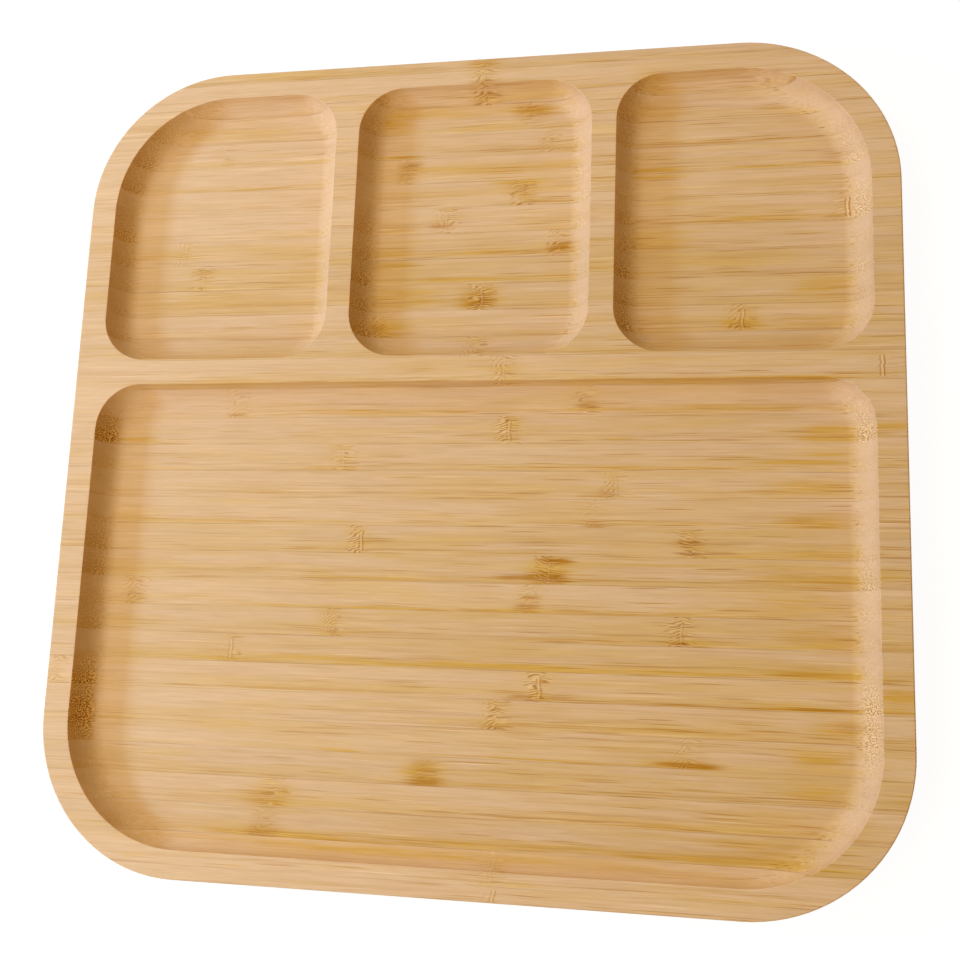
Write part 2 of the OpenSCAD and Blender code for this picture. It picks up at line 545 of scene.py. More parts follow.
def knuckle_strokes(n, given, place, off):
    """Dark and pale strokes that lean away from the knuckle on both sides."""
    y = n.split(given["Place"])[1]
    aside = n.math("ABSOLUTE", off)
    side = n.math("GREATER_THAN", off, 0.0)
    here = n.between(side, given["Strokes before"], given["Strokes after"])
    other_side = n.vector("ADD", place, n.join(0.0, n.times(side, 17.0), 0.0))
    lean = n.times(given["Lean"], n.between(side, 1.0, 0.2))
    leaning = n.plus(y, n.times(aside, lean))
    leaning = n.plus(leaning, n.times(swing(n, other_side, STROKE_WOBBLE), 3.4))
    wave = n.math("SINE", n.times(leaning, 2 * math.pi / STROKE_PITCH))
    uneven = n.noise(other_side, STROKE_LENGTHS, 1.0)
    length = n.between(n.rise(uneven, 0.3, 0.65), SHORT_STROKE, LONG_STROKE)
    kept = n.rise(aside, length, n.times(length, 0.5))
    kept = n.times(n.times(kept, here), n.rise(uneven, 0.36, 0.48))
    return n.times(n.rise(wave, 0.35, 1.0), kept), n.times(n.rise(wave, -0.3, -1.0), kept)


def knuckle_ridge(n, given, off):
    """A pale line between two dark ones, across the stave."""
    y = n.split(given["Place"])[1]
    across = across_stave(n, y, given)
    spans = n.times(n.rise(across, 0.06, 0.12), n.rise(across, 0.86, 0.76))
    ridge = n.times(spans, given["Ridge"])
    before = n.times(bell(n, n.plus(off, RIDGE_GAP), RIDGE_LINE), 0.5)
    after = n.times(bell(n, n.minus(off, RIDGE_GAP), THIN_RIDGE_LINE), 0.75)
    dark = n.times(n.math("MAXIMUM", before, after), ridge)
    return dark, n.times(n.times(bell(n, off, RIDGE_LINE), ridge), 0.8)


def knuckle_group():
    """Where the culm had a joint: leaning strokes, a ridge across them and a golden tint."""
    tree, n, given, out = new_group(
        "knuckle",
        [("Place", VECTOR), ("At", FLOAT), ("Front", FLOAT), ("Width", FLOAT), ("Seed", FLOAT),
         ("Strokes before", FLOAT), ("Strokes after", FLOAT), ("Lean", FLOAT), ("Ridge", FLOAT)],
        [("Bend", FLOAT), ("Dark", FLOAT), ("Pale", FLOAT), ("Golden", FLOAT)],
    )
    x = n.split(given["Place"])[0]
    place = seeded(n, given["Place"], given["Seed"])
    sway = n.times(swing(n, place, KNUCKLE_SWAY), 1.2)
    kink = n.times(swing(n, place, KNUCKLE_KINK), 0.7)
    off = n.minus(x, n.plus(given["At"], n.plus(sway, kink)))

    lift = n.minus(n.noise(place, KNUCKLE_LIFT, 1.0), 0.4)
    n.feed(out["Bend"], n.times(n.times(bell(n, off, BEND_REACH), lift), 1.8))
    cloudy = n.rise(n.noise(place, KNUCKLE_CLOUDS, 2.0), 0.35, 0.65)
    most = n.math("MAXIMUM", given["Strokes before"], given["Strokes after"])
    tint = n.times(n.times(bell(n, off, TINT_REACH), cloudy), most)
    n.feed(out["Golden"], n.times(tint, 0.75))

    dark_strokes, pale_strokes = knuckle_strokes(n, given, place, off)
    dark_ridge, pale_ridge = knuckle_ridge(n, given, off)
    n.feed(out["Dark"], n.math("MAXIMUM", dark_strokes, dark_ridge))
    n.feed(out["Pale"], n.math("MAXIMUM", pale_strokes, pale_ridge))
    return tree


def lie_of_fibres(n, given):
    """The wood's own place, the same where its fibres sway, and the swayed Y."""
    x, y, z = n.split(given["Place"])
    seeds = n.join(n.times(given["Seed"], SEED_X), n.times(given["Seed"], SEED_Y), given["Seed"])
    start = n.vector("ADD", given["Place"], seeds)
    sway = n.plus(n.times(swing(n, start, LONG_SWAY), 1.6), n.times(swing(n, start, SHORT_SWAY), 0.3))
    wandered = n.plus(n.plus(y, sway), given["Bend"])
    return start, n.vector("ADD", n.join(x, wandered, z), seeds), wandered


def fibre_bundles(n, place, dense, sizes, core, rim, few, many):
    """Long thin bundles, few at the stave's soft side and many at its dense one."""
    distance, chance = n.cells(place, sizes)
    often, strong, _ = n.split(chance)
    there = n.math("LESS_THAN", often, n.between(dense, few, many))
    spot = n.rise(distance, rim, core)
    return n.times(n.times(spot, there), n.between(strong, 0.25, 1.0))


def fibre_lines(n, place, dense, end_grain):
    """The dark lines and the pale lines that run along the grain."""
    thin = fibre_bundles(n, place, dense, THIN_LINES, 0.12, 0.4, 0.12, 1.0)
    bold = fibre_bundles(n, place, dense, BOLD_LINES, 0.08, 0.22, 0.1, 0.45)
    drawn_out = n.noise(n.vector("ADD", place, DRAWN_OUT_ASIDE), DRAWN_OUT_LINES, 3.0, 0.6)
    drawn_out = n.times(n.rise(drawn_out, 0.55, 0.7), n.between(dense, 0.3, 0.8))
    drawn_out = n.times(drawn_out, n.minus(1.0, end_grain))
    dark = n.math("MAXIMUM", n.math("MAXIMUM", thin, bold), drawn_out)

    beside = n.vector("ADD", place, BESIDE_BOLD)
    beside_bold = fibre_bundles(n, beside, dense, BOLD_LINES, 0.06, 0.2, 0.1, 0.45)
    aside = n.vector("ADD", place, PALE_LINES_ASIDE)
    pale = fibre_bundles(n, aside, dense, PALE_LINES, 0.1, 0.36, 0.12, 0.5)
    return dark, n.math("MAXIMUM", n.times(pale, 0.8), beside_bold)


def end_grain_dots(n, given, start, wandered, dense, end_grain, on_left_wall):
    """How dotted the end grain is here, with its dark dots and its pale ones."""
    x, y, z = n.split(given["Place"])
    by_rim = n.math("GREATER_THAN", n.math("ABSOLUTE", x), BY_RIM_X)
    left = n.between(by_rim, given["Dotted inside"], given["Dotted left"])
    right = n.times(given["Dotted right"], n.between(by_rim, 0.35, 1.0))
    dotted = n.between(on_left_wall, right, left)
    dotted = n.times(dotted, n.between(dense, 0.55, 1.3), clamp=True)
    cluster = n.rise(n.noise(start, DOT_CLUSTERS, 1.0), 0.46, 0.58)
    dotted = n.math("MAXIMUM", dotted, n.times(cluster, n.between(dense, 0.0, 0.3)))
    dotted = n.times(dotted, end_grain)
    dark_dots = n.times(n.dots(wandered, z, DOT_PITCH, 0.42, 0.2), dotted)
    pale_dots = n.times(n.dots(y, z, 0.8 * DOT_PITCH, 0.4, 0.2), dotted)
    return dotted, dark_dots, pale_dots


def glue_line(n, given, start, across, over_grain, end_grain):
    """The joint with the next stave, which shows here and there as a thin brown line."""
    to_joint = n.times(given["Width"], n.math("MINIMUM", across, n.minus(1.0, across)))
    shows = n.rise(n.noise(start, GLUE_STRETCHES, 1.0), 0.42, 0.62)
    glue = n.times(n.rise(to_joint, GLUE_EDGE, GLUE_CORE), n.between(shows, 0.06, 0.5))
    glue = n.times(glue, n.between(end_grain, 1.0, 0.15))
    return n.times(glue, n.rise(n.math("ABSOLUTE", over_grain), 0.95, 0.8))


def bamboo_group():
    """The grain of one stave: fibre bundles, soft patches of tone and the glue joints, with painted
    light: lit and shaded copies of the end grain, and a painted sheen towards the lamps.
    """
    tree, n, given, out = new_group(
        "bamboo grain",
        [("Place", VECTOR), ("Facing", VECTOR), ("Front", FLOAT), ("Width", FLOAT), ("Seed", FLOAT),
         ("Tone", FLOAT), ("Warmth", FLOAT), ("Dense back", FLOAT), ("Bend", FLOAT),
         ("Dark", FLOAT), ("Pale", FLOAT), ("Golden", FLOAT), ("Stain", FLOAT),
         ("Dotted left", FLOAT), ("Dotted inside", FLOAT), ("Dotted right", FLOAT)],
        [("Color", COLOUR), ("Roughness", FLOAT), ("Height", FLOAT)],
    )
    x, y, z = n.split(given["Place"])
    start, place, wandered = lie_of_fibres(n, given)
    across = across_stave(n, y, given)
    dense = n.rise(n.between(given["Dense back"], n.minus(1.0, across), across), 0.2, 1.0)
    away_from_painted_sheen = n.rise(x, PAINTED_SHEEN_X, SHEEN_GONE_X)
    on_top = n.rise(z, PLATE_T / MM - TOP_STARTS_UNDER, PLATE_T / MM - TOP_FULL_UNDER)

    # How the surface cuts the fibres: the left walls face right
    along_grain, over_grain, _ = n.split(given["Facing"])
    on_left_wall = n.math("GREATER_THAN", along_grain, 0.0)
    cut_across = n.math("ABSOLUTE", along_grain)
    end_grain = n.rise(cut_across, 0.2, 0.65)
    steep = n.rise(n.math("ABSOLUTE", over_grain), 0.35, 0.75)
    slanted = n.times(n.rise(cut_across, 0.1, 0.35), steep)
    fades = n.between(slanted, 1.0, SLANTED_SHARE)

    broad = swing(n, place, BROAD_TONES, 2.0)
    patch = n.noise(place, SMALL_TONES, 1.0)
    fine = n.noise(place, FINE_GRAIN, 3.0, 0.6)
    dark_lines, pale_lines = fibre_lines(n, place, dense, end_grain)
    # Painted sheen: the dark lines show less towards the lamps on the left
    dark_lines = n.times(n.times(dark_lines, n.between(away_from_painted_sheen, 0.5, 1.12)), fades)
    band = n.noise(n.vector("ADD", place, SOFT_BANDS_ASIDE), SOFT_BANDS, 1.0)
    band = n.times(n.times(n.rise(band, 0.5, 0.72), n.between(dense, 0.35, 0.8)), fades)
    golden_here = n.times(n.rise(patch, 0.55, 0.72), n.between(dense, 0.1, 0.3))
    golden = n.math("MAXIMUM", n.times(golden_here, fades), given["Golden"])
    dotted, dark_dots, pale_dots = end_grain_dots(
        n, given, start, wandered, dense, end_grain, on_left_wall)
    glue = glue_line(n, given, start, across, over_grain, end_grain)

    # Painted sheen: towards the lamps on the left the warm swings are smaller and the wood is less
    # warm
    warm = n.plus(given["Warmth"], n.times(broad, n.between(away_from_painted_sheen, 2.2, 3.4)))
    warm = n.plus(warm, n.times(dense, 0.2))
    warm = n.plus(warm, n.times(dark_lines, 0.8))
    warm = n.minus(warm, n.between(away_from_painted_sheen, 0.36, 0.0))
    warm = n.minus(warm, n.times(on_top, 0.2))
    colour = n.colour(n.times(warm, 1.0, clamp=True), PINK_BAMBOO, OCHRE_BAMBOO)

    # Painted light: a lit copy of a tone for walls that face the lamps, and a shaded copy, painted
    # shade, for walls that face away
    def painted_light_by_wall(right, left):
        return n.colour(on_left_wall, right, left)

    # Each layer has its mask, its strength, its colour and how it is laid on
    layers = [
        # The end grain's base tone is a lit copy, paler as a painted sheen, or a shaded copy, darker
        # as painted shade
        (end_grain, 0.85, painted_light_by_wall(END_BASE_PAINTED_LIT, END_BASE_PAINTED_SHADE), "MIX"),
        (golden, n.between(end_grain, 0.85, 0.12), GOLD, "MIX"),
        (band, n.between(end_grain, 0.42, 0.2), LINE_TINT, "MULTIPLY"),
        (given["Stain"], 0.95, STAIN_BROWN, "MIX"),
        (dark_lines, n.between(end_grain, 0.9, 0.5), LINE_TINT, "MULTIPLY"),
        (pale_lines, n.between(end_grain, 0.5, 0.6), PALE_FIBRE, "MIX"),
        # On walls facing away from the lamps the gold and the dots take their shaded copies and
        # larger shares, as part of the painted shade
        (dotted, n.between(on_left_wall, 0.32, 0.9), painted_light_by_wall(END_GOLD_PAINTED_LIT, END_GOLD_PAINTED_SHADE), "MIX"),
        (pale_dots, n.between(on_left_wall, 0.65, 1.0), painted_light_by_wall(PALE_DOT_PAINTED_LIT, PALE_DOT_PAINTED_SHADE), "MIX"),
        (dark_dots, n.between(on_left_wall, 0.66, 0.95), painted_light_by_wall(END_BROWN_PAINTED_LIT, END_BROWN_PAINTED_SHADE), "MIX"),
        (given["Dark"], 1.0, MARK_TINT, "MULTIPLY"),
        (given["Pale"], 0.5, PALE_MARK, "MIX"),
        (glue, 1.0, GLUE_BROWN, "MIX"),
    ]
    for mask, strength, tint, how in layers:
        colour = n.colour(n.times(mask, strength), colour, tint, how)

    grain = n.plus(n.times(n.minus(fine, 0.5), 0.38), n.times(n.minus(patch, 0.5), 0.2))
    grain = n.plus(grain, n.times(on_top, 0.015))
    # Painted light: lighter towards the lamps on the left and a little darker on the right, as
    # painted falloff
    grain = n.plus(grain, n.between(away_from_painted_sheen, 0.017, -0.008))
    shade = [n.times(given["Tone"], n.plus(1.0, n.times(grain, depth))) for depth in GRAIN_DEPTH]
    n.feed(out["Color"], n.colour(1.0, colour, n.join(*shade), "MULTIPLY"))

    rough = n.plus(n.times(dark_lines, 0.12), n.times(fine, 0.1))
    n.feed(out["Roughness"], n.plus(rough, ROUGHNESS))
    relief = n.minus(n.times(fine, 0.4), dark_lines)
    relief = n.plus(relief, n.times(n.minus(given["Pale"], given["Dark"]), 0.12))
    n.feed(out["Height"], n.minus(relief, glue))
    return tree


# The three finishes (tone and warmth) and the staves of each, counted from the front. The
# rest are honey.
FINISHES = {
    "bamboo_pale": (1.035, 0.22),
    "bamboo_honey": (1.0, 0.4),
    "bamboo_toasted": (0.97, 0.62),
}
PALE_STAVES = {1, 2, 18, 25, 26, 27, 28, 29, 30}
TOASTED_STAVES = {3, 5, 9, 10, 12, 13, 20, 22, 23}

# Staves whose dense, dark-lined side is the back one
DENSE_BACK = {6}

# How strongly the end grain is dotted on the left wall by the rim, on the walls between
# pockets that face the same way, and on the right walls
DOTTED = {
    6: (1.0, 0.0, 0.5), 7: (1.0, 0.0, 0.9), 8: (0.8, 0.0, 0.9), 10: (0.4, 0.0, 0.0),
    11: (0.2, 0.0, 0.2), 12: (0.5, 0.0, 0.6), 13: (0.4, 0.0, 0.2), 17: (0.9, 0.0, 1.0),
    20: (0.0, 0.2, 0.0), 21: (0.1, 0.7, 0.2), 22: (0.1, 0.5, 0.2), 23: (0.2, 0.6, 0.3),
    24: (0.3, 0.4, 0.0), 25: (0.5, 0.4, 1.0), 27: (0.4, 0.1, 0.5), 28: (0.4, 0.3, 0.15),
    29: (0.25, 0.3, 0.0), 30: (0.3, 0.4, 0.1),
}

# Knuckles of each stave: place along the grain from the middle in millimetres, strokes
# before and after the ridge, their lean, and the ridge
KNUCKLES = {
    1: [(14, 0.15, 0.15, 0.3, 0.8)],
    2: [(13, 0.25, 0.25, 0.3, 0.3)],
    3: [(-56, 0.2, 0.3, -0.3, 0.0)],
    4: [(-53, 0.5, 0.5, 0.1, 0.0)],
    5: [(-8, 0.15, 0.2, 0.2, 0.0)],
    6: [(66, 0.35, 0.3, 0.7, 0.0)],
    7: [(12, 0.7, 0.5, 0.4, 0.0)],
    8: [(24, 1.0, 0.8, 0.15, 1.0), (-122, 0.4, 0.4, 0.3, 0.0)],
    9: [(-70, 0.2, 0.4, -0.5, 0.7)],
    10: [(64, 0.8, 0.7, 0.35, 0.5), (-38, 0.7, 0.3, 0.7, 0.2)],
    11: [(21, 0.4, 0.2, 0.2, 0.0), (-102, 0.5, 0.4, 0.4, 0.0)],
    12: [(26, 0.6, 0.6, -0.4, 0.3)],
    13: [(-31, 1.0, 0.1, 0.4, 1.0), (67, 0.7, 0.5, -0.3, 0.0)],
    14: [(39, 0.2, 0.1, 0.3, 0.0)],
    15: [(45, 0.5, 0.3, 0.5, 0.25)],
    16: [(-38, 0.3, 0.6, 0.2, 0.2)],
    17: [(13, 1.0, 0.6, 0.35, 0.9)],
    18: [(-72, 0.3, 0.3, 0.4, 0.0), (36, 0.4, 0.5, 0.3, 0.0)],
    19: [(12, 0.6, 0.5, 0.6, 0.3), (118.5, 0.15, 0.15, 0.4, 1.3)],
    20: [(2, 0.4, 0.6, -0.5, 0.2)],
    21: [(81, 0.6, 0.3, 0.5, 0.9), (-28, 0.5, 0.4, 0.5, 0.0)],
    22: [(3, 1.0, 0.8, 0.3, 0.6)],
    23: [(-88, 0.5, 0.4, 0.2, 0.2)],
    24: [(27, 0.6, 0.5, 0.4, 0.0), (-95, 0.3, 0.2, 0.6, 0.2)],
    25: [(-9, 0.4, 0.6, -0.6, 0.4), (111, 0.4, 0.1, 0.3, 1.4)],
    26: [(15, 0.8, 0.6, 0.2, 0.2)],
    27: [(-22, 0.3, 0.3, 0.3, 0.0)],
    28: [(-84, 0.3, 0.3, 0.6, 0.0), (24, 0.4, 0.3, 0.3, 0.0)],
    29: [(17, 0.3, 0.3, 0.2, 0.0)],
    30: [(3, 0.7, 0.7, 0.3, 0.3)],
    31: [(3, 0.5, 0.5, 0.2, 0.0)],
}

# Brown stains of each stave: middle and reach along the grain, distance from the stave's
# front and thickness, all in millimetres, and strength
STAINS = {
    3: [(-56, 7, 1.3, 1.5, 0.5), (-55, 6, 5.5, 2.5, 0.25)],
    4: [(-55, 9, 1.5, 3.5, 0.2)],
    5: [(-8, 7, 1.3, 1.6, 0.6), (-8, 5, 4.5, 2.2, 0.3)],
    6: [(68, 9, 0.9, 0.7, 1.2), (60, 6, 1.2, 0.5, 0.5)],
    7: [(12, 5, 0.7, 0.8, 0.6), (11, 2, 5.5, 0.4, 0.4), (111, 7, 4.5, 1.4, 0.3)],
    8: [(19, 5, 1.2, 1.0, 0.4), (30, 6, 1.2, 0.6, 0.5), (100, 14, 0.7, 0.4, 0.9),
        (75, 30, 0.6, 0.3, 0.5)],
    9: [(101, 10, 1.6, 0.8, 0.25)],
    10: [(64, 4, 0.8, 0.8, 0.5), (-38, 2, 1.4, 0.5, 0.3)],
    11: [(20, 5, 1.6, 1.3, 0.5), (21, 4, 4.4, 0.6, 0.5), (-102, 4, 3.0, 3.0, 0.2)],
    12: [(26, 7, 1.8, 1.5, 1.4), (28, 6, 7.0, 0.9, 1.1), (17, 8, 1.8, 0.8, 0.5),
         (102, 9, 2.2, 0.5, 0.3)],
    13: [(66, 5, 4.4, 0.8, 0.6), (74, 6, 1.4, 0.5, 0.6), (66, 4, 1.0, 0.6, 0.4)],
    14: [(39, 4, 1.2, 1.0, 0.4), (98, 4, 2.6, 0.8, 0.3)],
    15: [(43, 4, 2.0, 2.0, 0.3)],
    16: [(-24, 8, 4.4, 0.4, 0.3)],
    18: [(36, 4, 3.4, 1.1, 0.65), (35, 6, 5.6, 0.5, 0.35), (-73, 4, 0.8, 0.5, 0.4)],
    20: [(0, 9, 0.8, 0.4, 0.5)],
    21: [(81, 4, 1.5, 1.0, 0.4), (-29, 3, 2.6, 1.4, 0.6)],
    22: [(3, 5, 1.8, 1.2, 0.6), (4, 5, 4.5, 1.6, 0.4), (0, 6, 3.0, 3.0, 0.3)],
    23: [(-88, 5, 6.5, 2.0, 0.2)],
    24: [(27, 5, 2.4, 1.6, 0.9), (18, 9, 1.5, 0.5, 0.4)],
    25: [(-11, 5, 2.2, 0.6, 0.5), (108, 5, 1.0, 0.5, 0.5)],
    26: [(15, 6, 4.5, 2.4, 0.2)],
    27: [(-21, 5, 6.5, 1.6, 0.5), (-23, 4, 3.5, 2.5, 0.35), (108, 5, 3.5, 1.8, 0.2)],
    28: [(-23, 6, 0.9, 0.5, 0.5)],
    29: [(18, 8, 6.2, 2.2, 0.4)],
    30: [(3, 6, 2.5, 2.5, 0.4)],
    31: [(3, 6, 1.5, 2.0, 0.2)],
}

# Golden streaks of each stave, with the same five values. Those just right of a small pocket's left
# wall, at about -28 and 55, are partly the wood's own and partly painted warm light thrown back from
# that wall.
GOLDEN = {
    2: [(10, 90, 6.5, 1.6, 0.5), (-60, 50, 7.0, 1.2, 0.4)],
    3: [(-55, 45, 1.0, 1.4, 0.7), (20, 60, 1.2, 1.4, 0.6), (85, 40, 1.2, 1.5, 0.8),
        (92, 26, 4.8, 2.6, 0.5)],
    4: [(60, 60, 1.0, 1.2, 0.4), (98, 26, 4.0, 3.2, 0.45), (-54, 11, 3.0, 4.0, 0.5)],
    5: [(20, 30, 1.3, 1.0, 0.4), (100, 9, 3.5, 2.6, 0.7), (-8, 9, 3.5, 3.6, 0.7)],
    6: [(63, 12, 0.8, 1.6, 0.8), (-34, 9, 0.3, 0.7, 0.8), (40, 60, 0.5, 0.4, 0.7),
        (101, 10, 3.8, 3.0, 0.8)],
    7: [(60, 60, 1.4, 1.2, 0.4), (106, 9, 4.0, 2.0, 0.7)],
    8: [(75, 50, 1.0, 1.0, 0.5), (-50, 40, 1.2, 1.0, 0.3), (122, 8, 4.6, 2.2, 1.0),
        (108, 30, 0.7, 0.8, 0.9)],
    9: [(30, 90, 1.2, 1.1, 0.8), (-42, 20, 2.2, 0.8, 0.8), (106, 24, 1.9, 1.5, 0.9),
        (-80, 40, 1.5, 1.6, 0.4)],
    10: [(70, 60, 1.0, 1.0, 0.6), (102, 16, 4.0, 3.0, 0.6)],
    11: [(-15, 60, 0.4, 0.5, 0.8), (60, 60, 0.6, 0.6, 0.5), (98, 18, 4.5, 2.5, 0.6)],
    12: [(26, 9, 4.0, 5.0, 0.5), (104, 22, 2.6, 2.0, 0.9), (60, 50, 6.2, 0.4, 0.6),
         (-20, 60, 1.0, 0.8, 0.5), (-100, 20, 4.0, 2.5, 0.2)],
    13: [(95, 30, 1.2, 1.6, 0.7), (-70, 50, 1.0, 1.0, 0.3)],
    14: [(100, 13, 2.2, 1.8, 0.8), (-60, 60, 0.8, 0.8, 0.4), (-105, 12, 3.0, 2.5, 0.3)],
    15: [(100, 16, 4.0, 2.5, 0.6)],
    16: [(-41, 10, 0.9, 0.4, 0.9), (60, 60, 1.2, 0.6, 0.6), (98, 18, 2.8, 0.8, 0.8),
         (104, 9, 5.0, 0.6, 0.6)],
    17: [(-106, 9, 1.4, 0.8, 0.85), (106, 11, 3.0, 2.4, 1.0), (108, 16, 1.2, 0.6, 0.8),
         (45, 10, 1.2, 0.6, 0.5), (121, 9, 3.2, 1.1, 1.0)],
    18: [(30, 25, 2.0, 0.5, 0.6), (-20, 60, 1.8, 1.2, 0.5), (80, 40, 2.0, 1.3, 0.5)],
    19: [(-60, 60, 1.0, 0.8, 0.3), (60, 60, 1.0, 0.8, 0.45), (0, 70, 5.0, 2.4, 0.2),
         (103, 22, 0.7, 0.5, 0.9)],
    20: [(-80, 40, 1.2, 1.2, 0.4), (90, 40, 1.0, 1.0, 0.4)],
    21: [(-27, 7, 3.0, 3.0, 0.9), (81, 7, 2.6, 2.8, 0.9), (100, 20, 2.5, 2.5, 0.4),
         (-60, 40, 1.0, 0.8, 0.15)],
    22: [(-22, 16, 4.0, 3.5, 0.6), (2, 8, 3.4, 3.0, 0.9), (104, 12, 5.0, 3.0, 0.6),
         (-80, 70, 4.5, 3.0, 0.35)],
    23: [(-50, 70, 5.0, 2.5, 0.3), (-3, 16, 1.6, 0.5, 1.0), (20, 50, 1.6, 0.4, 0.6),
         (-26, 9, 7.2, 0.9, 0.7), (60, 50, 4.0, 2.5, 0.3)],
    24: [(0, 50, 1.6, 0.5, 0.7), (-27, 10, 2.5, 1.6, 0.4), (55, 12, 3.5, 3.0, 0.5),
         (-80, 60, 4.5, 2.5, 0.35)],
    25: [(-26, 9, 1.4, 0.8, 0.5), (80, 40, 1.2, 0.7, 0.7)],
    26: [(18, 16, 7.6, 0.8, 0.95), (56, 12, 7.2, 0.7, 0.8), (0, 60, 5.0, 1.8, 0.35)],
    27: [(54, 11, 1.4, 0.9, 0.9), (-80, 40, 0.8, 0.8, 0.4), (90, 30, 0.8, 0.6, 0.5),
         (0, 50, 4.0, 2.5, 0.45)],
    28: [(-23, 8, 0.9, 0.6, 0.9), (-60, 50, 0.8, 0.8, 0.4), (80, 40, 1.0, 0.8, 0.4)],
    29: [(18, 8, 5.5, 1.8, 0.7), (-28, 9, 3.5, 2.8, 0.7), (55, 12, 3.5, 2.8, 0.45),
         (-5, 45, 6.8, 2.2, 0.5), (-80, 40, 3.5, 2.5, 0.4)],
    30: [(30, 40, 1.2, 0.8, 0.4), (54, 6, 2.6, 2.8, 0.4)],
    31: [(3, 8, 2.0, 3.0, 0.35), (-50, 60, 1.5, 3.0, 0.35)],
}


def finish_of(number):
    if number in PALE_STAVES:
        return "bamboo_pale"
    return "bamboo_toasted" if number in TOASTED_STAVES else "bamboo_honey"


def set_values(group_node, values):
    for label, value in values.items():
        group_node.inputs[label].default_value = value


def gather(n, socket, value):
    """Adds a value to what the socket already gets, as when several marks share a stave."""
    if socket.is_linked:
        value = n.plus(socket.links[0].from_socket, value, clamp=True)
    n.feed(socket, value)


def bamboo_material(node, groups):
    """The finish of one stave, with its own grain, knuckles, stains and golden streaks."""
    number = int(node.split("_")[1])
    low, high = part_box(node)
    front, width = low.y / MM, (high.y - low.y) / MM
    tone, warmth = FINISHES[finish_of(number)]
    dotted_left, dotted_inside, dotted_right = DOTTED.get(number, (0.0, 0.0, 0.0))
    material = bpy.data.materials.new(node.replace("stave", "bamboo"))
    material.use_nodes = True
    n = Nodes(material.node_tree)
    shader = material.node_tree.nodes["Principled BSDF"]
    place = n.vector("SCALE", n.add("ShaderNodeTexCoord").outputs["Object"])
    place.node.inputs["Scale"].default_value = 1 / MM

    board = n.add("ShaderNodeGroup", node_tree=groups["grain"])
    set_values(board, {
        "Front": front, "Width": width, "Seed": STAVE_SEED_STEP * number,
        "Tone": tone, "Warmth": warmth,
        "Dense back": 1.0 if number in DENSE_BACK else 0.0,
        "Dotted left": dotted_left, "Dotted inside": dotted_inside, "Dotted right": dotted_right,
    })
    n.feed(board.inputs["Place"], place)
    n.feed(board.inputs["Facing"], n.add("ShaderNodeNewGeometry").outputs["Normal"])

    for order, (at, before, after, lean, ridge) in enumerate(KNUCKLES.get(number, [])):
        mark = n.add("ShaderNodeGroup", node_tree=groups["knuckle"])
        n.feed(mark.inputs["Place"], place)
        seed = KNUCKLE_SEED_STEPS[0] * number + KNUCKLE_SEED_STEPS[1] * order
        set_values(mark, {
            "At": at, "Front": front, "Width": width, "Seed": seed,
            "Strokes before": before, "Strokes after": after, "Lean": lean, "Ridge": ridge,
        })
        for label in ("Bend", "Dark", "Pale", "Golden"):
            gather(n, board.inputs[label], mark.outputs[label])
    for label, table in (("Stain", STAINS), ("Golden", GOLDEN)):
        for order, (at, reach, line, thickness, strength) in enumerate(table.get(number, [])):
            streak = n.add("ShaderNodeGroup", node_tree=groups["streak"])
            n.feed(streak.inputs["Place"], place)
            seed = STREAK_SEED_STEPS[0] * number + STREAK_SEED_STEPS[1] * order
            set_values(streak, {
                "At": at, "Reach": reach, "Line": front + line, "Thickness": thickness,
                "Seed": seed, "Strength": strength,
            })
            gather(n, board.inputs[label], streak.outputs["Mask"])

    n.feed(shader.inputs["Base Color"], board.outputs["Color"])
    n.feed(shader.inputs["Roughness"], board.outputs["Roughness"])
    shader.inputs["Specular IOR Level"].default_value = SHINE
    relief = n.add("ShaderNodeBump")
    relief.inputs["Strength"].default_value = RELIEF_STRENGTH
    relief.inputs["Distance"].default_value = RELIEF_DEPTH
    n.feed(relief.inputs["Height"], board.outputs["Height"])
    n.feed(shader.inputs["Normal"], relief.outputs["Normal"])
    return material


def dress_staves(staves):
    groups = {"grain": bamboo_group(), "knuckle": knuckle_group(), "streak": streak_group()}
    for node, piece in staves.items():
        piece.data.materials.clear()
        piece.data.materials.append(bamboo_material(node, groups))
        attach(piece, "root")
        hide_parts(node)
        finish_of(int(node.split("_")[1]))


# Floor, light and camera

def seen_as_background(n):
    """1 for the rays that show the white background, and 0 for those that light the plate."""
    path = n.add("ShaderNodeLightPath").outputs
    seen = n.math("MAXIMUM", path["Is Camera Ray"], path["Is Glossy Ray"])
    return n.math("MAXIMUM", seen, path["Is Transmission Ray"])


# The floor lies just under the plate. It looks white by itself, with a share of its light
# left to the lamps, which keeps the shadow, and it throws light back onto the plate.
FLOOR_SIZE = 4.0
FLOOR_UNDER = 0.02 * MM
FLOOR_SHADOW_SHARE = 0.12
FLOOR_BOUNCE = 0.8


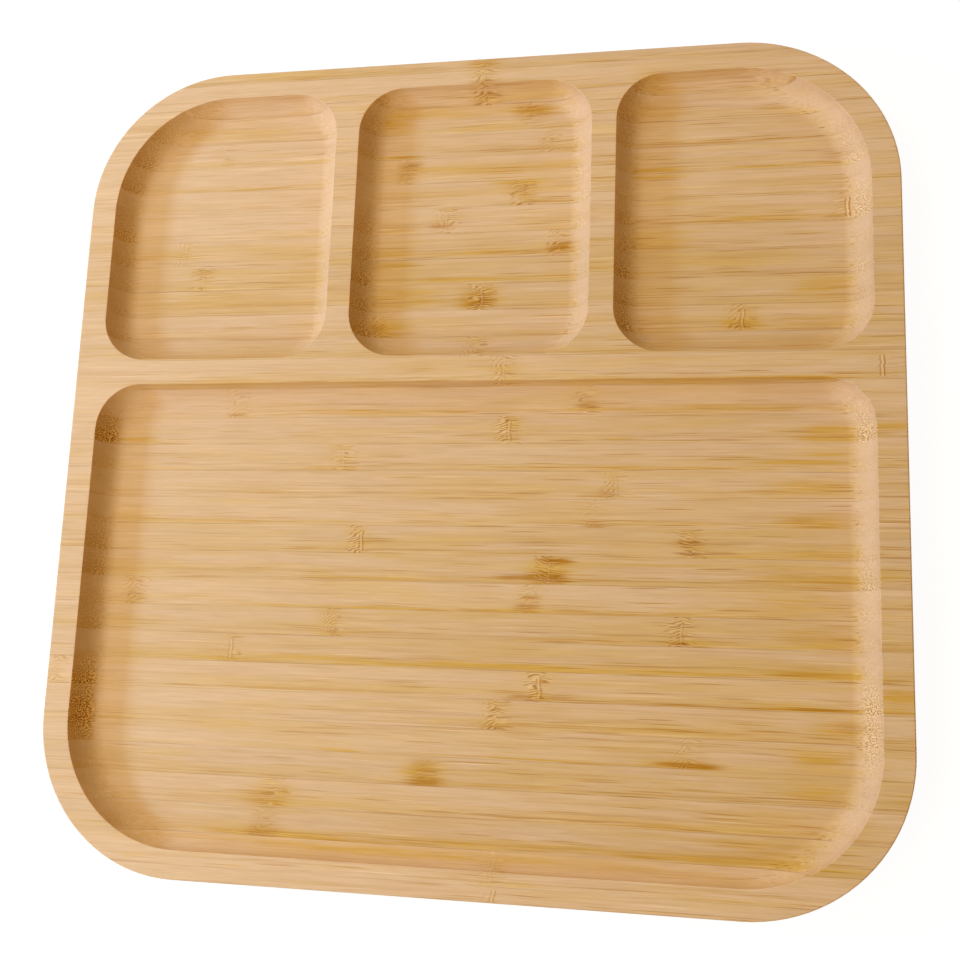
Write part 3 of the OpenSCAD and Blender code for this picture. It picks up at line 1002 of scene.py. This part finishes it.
def add_floor():
    """A white floor that keeps a faint shadow of the plate."""
    bpy.ops.object.select_all(action="DESELECT")
    bpy.ops.mesh.primitive_plane_add(size=FLOOR_SIZE, location=(0, 0, -FLOOR_UNDER))
    floor = begin_piece("floor")
    material = bpy.data.materials.new("white floor")
    material.use_nodes = True
    tree = material.node_tree
    tree.nodes.remove(tree.nodes["Principled BSDF"])
    n = Nodes(tree)
    seen = seen_as_background(n)
    body = n.add("ShaderNodeBsdfDiffuse")
    tone = n.between(seen, FLOOR_BOUNCE, FLOOR_SHADOW_SHARE)
    n.feed(body.inputs["Color"], n.join(tone, tone, tone))
    glow = n.add("ShaderNodeEmission")
    n.feed(glow.inputs["Strength"], n.times(seen, 1.0 - FLOOR_SHADOW_SHARE / 2))
    both = n.add("ShaderNodeAddShader")
    n.feed(both.inputs[0], body.outputs[0])
    n.feed(both.inputs[1], glow.outputs[0])
    n.feed(tree.nodes["Material Output"].inputs["Surface"], both.outputs[0])
    floor.data.materials.append(material)


# The room fills the shade from the front and the back, and its light is warm
ROOM_LIGHT = (1.02, 0.81, 0.41)


def set_world():
    world = bpy.data.worlds.new("white surround")
    bpy.context.scene.world = world
    world.use_nodes = True
    n = Nodes(world.node_tree)
    way = n.add("ShaderNodeTexCoord").outputs["Generated"]
    from_front_or_back = n.math("ABSOLUTE", n.split(way)[1])
    seen = seen_as_background(n)
    background = world.node_tree.nodes["Background"]
    n.feed(background.inputs["Color"], n.colour(seen, (*ROOM_LIGHT, 1.0), (1.0, 1.0, 1.0, 1.0)))
    n.feed(background.inputs["Strength"], n.between(seen, from_front_or_back, 1.0))


# The lamps on the left: turn from the left towards the back, height, both in degrees,
# distance and size in metres, the red, green and blue that a white card facing it gets, and
# whether it shows as a shine on the wood
LAMPS = {
    "low window": (0, 23.5, 1.03, 0.13, (0.226, 0.425, 0.842), False),
    "left softbox": (0, 60, 0.9, 0.5, (0.383, 0.268, 0.145), True),
    "front left softbox": (-45, 40, 0.9, 0.4, (0.122, 0.184, 0.217), True),
    "back left softbox": (45, 40, 0.9, 0.4, (0.122, 0.184, 0.217), True),
}


def add_lamp(name, turn, height, distance, size, light_on_card, shines):
    """A square lamp that looks at the middle of the plate."""
    turn, height = math.radians(turn), math.radians(height)
    flat = distance * math.cos(height)
    place = Vector((-flat * math.cos(turn), flat * math.sin(turn), distance * math.sin(height)))
    strongest = max(light_on_card)
    light = bpy.data.lights.new(name, "AREA")
    light.shape = "SQUARE"
    light.size = size
    # The power with which a small lamp gives the card this light at this distance
    light.energy = strongest * math.pi ** 2 * distance ** 2
    light.color = [part / strongest for part in light_on_card]
    lamp = bpy.data.objects.new(name, light)
    lamp.location = place
    lamp.rotation_mode = "QUATERNION"
    lamp.rotation_quaternion = (-place).to_track_quat("-Z", "Y")
    lamp.visible_glossy = shines
    bpy.context.collection.objects.link(lamp)


# Place from the middle of the plate's underside, turn in degrees, and lens and sensor width
# in millimetres
CAMERA_PLACE = (68.5 * MM, -64.9 * MM, 340.2 * MM)
CAMERA_TURN = (10.05, 10.475, 2.137)
CAMERA_LENS = 43.14
SENSOR = 36.0


def add_camera():
    data = bpy.data.cameras.new("camera")
    data.lens = CAMERA_LENS
    data.sensor_width = SENSOR
    camera = bpy.data.objects.new("camera", data)
    camera.location = CAMERA_PLACE
    camera.rotation_euler = [math.radians(angle) for angle in CAMERA_TURN]
    bpy.context.collection.objects.link(camera)
    bpy.context.scene.camera = camera


add_camera()
dress_staves(make_staves())
add_floor()
set_world()
for lamp_name, lamp_values in LAMPS.items():
    add_lamp(lamp_name, *lamp_values)
bpy.context.scene.view_settings.view_transform = "Standard"
